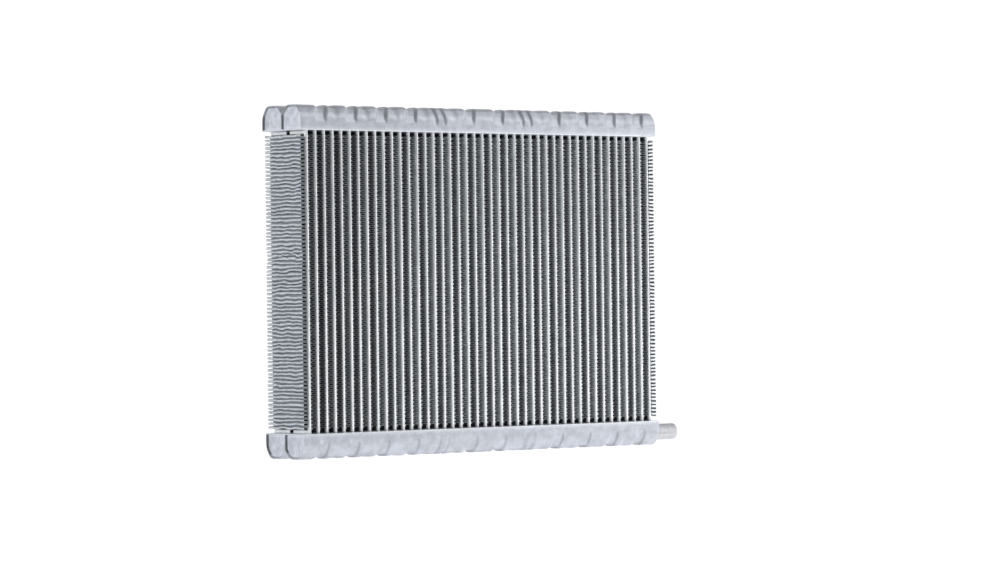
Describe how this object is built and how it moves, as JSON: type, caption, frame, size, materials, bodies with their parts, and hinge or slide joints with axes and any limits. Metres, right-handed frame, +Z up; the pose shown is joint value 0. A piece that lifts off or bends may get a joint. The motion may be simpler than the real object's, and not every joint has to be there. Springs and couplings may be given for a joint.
{
  "type": "evaporator core",
  "caption": "Brazed aluminium heat exchanger: two rows of flat tubes and folded fins between a pair of domed double tanks, with port stubs at one end.",
  "frame": {"origin": "on the standing surface, under the middle of the whole part with its port stubs", "axes": "+X along the tanks towards the port stubs, +Y from the front face to the rear face, +Z up"},
  "size_m": [0.3286, 0.0414, 0.2294],
  "materials": {
    "tank_sheet": "brazed, matt",
    "tube_plate": "brazed, matt",
    "flat_tube": "drawn, satin",
    "fin_sheet": "rolled, satin",
    "end_cap": "stamped, matt",
    "port_stub": "drawn, satin"
  },
  "bodies": {
    "root": {"upper_tube_plate": "tube_plate", "lower_tube_plate": "tube_plate", "front_tube_row": "flat_tube", "rear_tube_row": "flat_tube", "upper_tank_cover": "tank_sheet", "lower_tank_cover": "tank_sheet", "upper_left_end_caps": "end_cap", "upper_right_end_caps": "end_cap", "lower_left_end_caps": "end_cap", "lower_right_end_caps": "end_cap", "lower_front_partition": "end_cap", "lower_rear_partition": "end_cap", "outlet_stub": "port_stub", "inlet_stub": "port_stub", "fin_01": "fin_sheet", "fin_02": "fin_sheet", "fin_03": "fin_sheet", "fin_04": "fin_sheet", "fin_05": "fin_sheet", "fin_06": "fin_sheet", "fin_07": "fin_sheet", "fin_08": "fin_sheet", "fin_09": "fin_sheet", "fin_10": "fin_sheet", "fin_11": "fin_sheet", "fin_12": "fin_sheet", "fin_13": "fin_sheet", "fin_14": "fin_sheet", "fin_15": "fin_sheet", "fin_16": "fin_sheet", "fin_17": "fin_sheet", "fin_18": "fin_sheet", "fin_19": "fin_sheet", "fin_20": "fin_sheet", "fin_21": "fin_sheet", "fin_22": "fin_sheet", "fin_23": "fin_sheet", "fin_24": "fin_sheet", "fin_25": "fin_sheet", "fin_26": "fin_sheet", "fin_27": "fin_sheet", "fin_28": "fin_sheet", "fin_29": "fin_sheet", "fin_30": "fin_sheet", "fin_31": "fin_sheet", "fin_32": "fin_sheet", "fin_33": "fin_sheet", "fin_34": "fin_sheet", "fin_35": "fin_sheet", "fin_36": "fin_sheet", "fin_37": "fin_sheet", "fin_38": "fin_sheet", "fin_39": "fin_sheet", "fin_40": "fin_sheet", "fin_41": "fin_sheet", "fin_42": "fin_sheet", "fin_43": "fin_sheet", "fin_44": "fin_sheet"}
  },
  "joints": []
}
